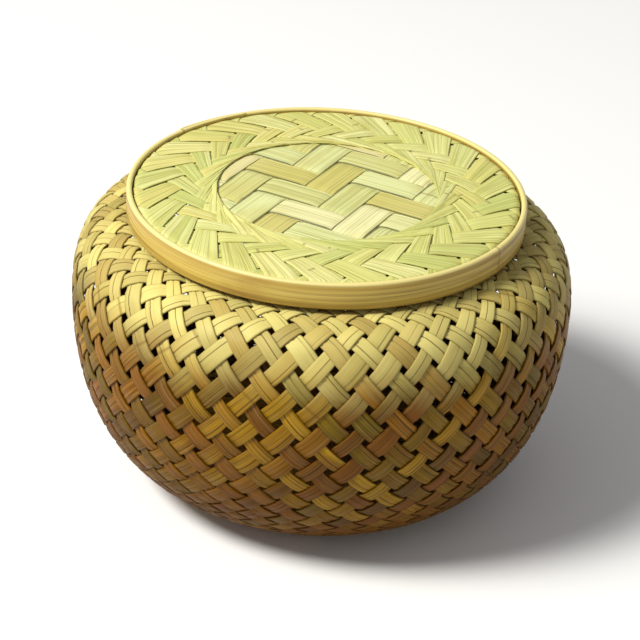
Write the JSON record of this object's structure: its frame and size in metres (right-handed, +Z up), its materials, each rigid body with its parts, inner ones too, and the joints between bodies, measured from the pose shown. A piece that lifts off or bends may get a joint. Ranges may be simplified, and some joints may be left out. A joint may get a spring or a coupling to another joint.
{
  "type": "woven bamboo basket with lid",
  "caption": "Round bulging basket of diagonally woven bamboo strips with a hooped neck, and a flat woven lid in a bent bamboo hoop that drops over the neck",
  "frame": {"origin": "centre of the flat underside, at the bottom of the whole object", "axes": "+Z up along the axis of the bowl and the lid; -Y towards the front"},
  "size_m": [0.23, 0.23, 0.1404],
  "materials": {
    "bamboo_wall": "raw split bamboo, satin",
    "bamboo_base": "raw split bamboo, satin",
    "bamboo_lid_weave": "raw split bamboo, pale green, satin",
    "bamboo_lid_strip": "raw split bamboo, pale cream green, satin",
    "bamboo_hoop": "shaved bent bamboo, satin",
    "cane_lashing": "flat split cane, satin",
    "bamboo_peg": "whittled bamboo, end grain"
  },
  "bodies": {
    "basket": {"base_mat": "bamboo_base", "foot_weave": "bamboo_wall", "belly_weave": "bamboo_wall", "shoulder_weave": "bamboo_wall", "neck_weave": "bamboo_wall", "rim_hoop_outer": "bamboo_hoop", "rim_hoop_inner": "bamboo_hoop", "rim_cane": "bamboo_hoop", "rim_lashing": "cane_lashing"},
    "lid": {"lid_ring_weave": "bamboo_lid_weave", "lid_ring_edge": "bamboo_lid_weave", "lid_strip_across_1": "bamboo_lid_strip", "lid_strip_across_2": "bamboo_lid_strip", "lid_strip_across_3": "bamboo_lid_strip", "lid_strip_across_4": "bamboo_lid_strip", "lid_strip_across_5": "bamboo_lid_strip", "lid_strip_across_6": "bamboo_lid_strip", "lid_strip_across_7": "bamboo_lid_strip", "lid_strip_along_1": "bamboo_lid_strip", "lid_strip_along_2": "bamboo_lid_strip", "lid_strip_along_3": "bamboo_lid_strip", "lid_strip_along_4": "bamboo_lid_strip", "lid_strip_along_5": "bamboo_lid_strip", "lid_strip_along_6": "bamboo_lid_strip", "lid_strip_along_7": "bamboo_lid_strip", "lid_hoop_outer": "bamboo_hoop", "lid_hoop_inner": "bamboo_hoop", "lid_pegs": "bamboo_peg"}
  },
  "joints": [
    {"name": "lid_lift", "type": "slide", "parent": "basket", "child": "lid", "axis": [0, 0, 1], "range_m": [0, 0.1]}
  ]
}
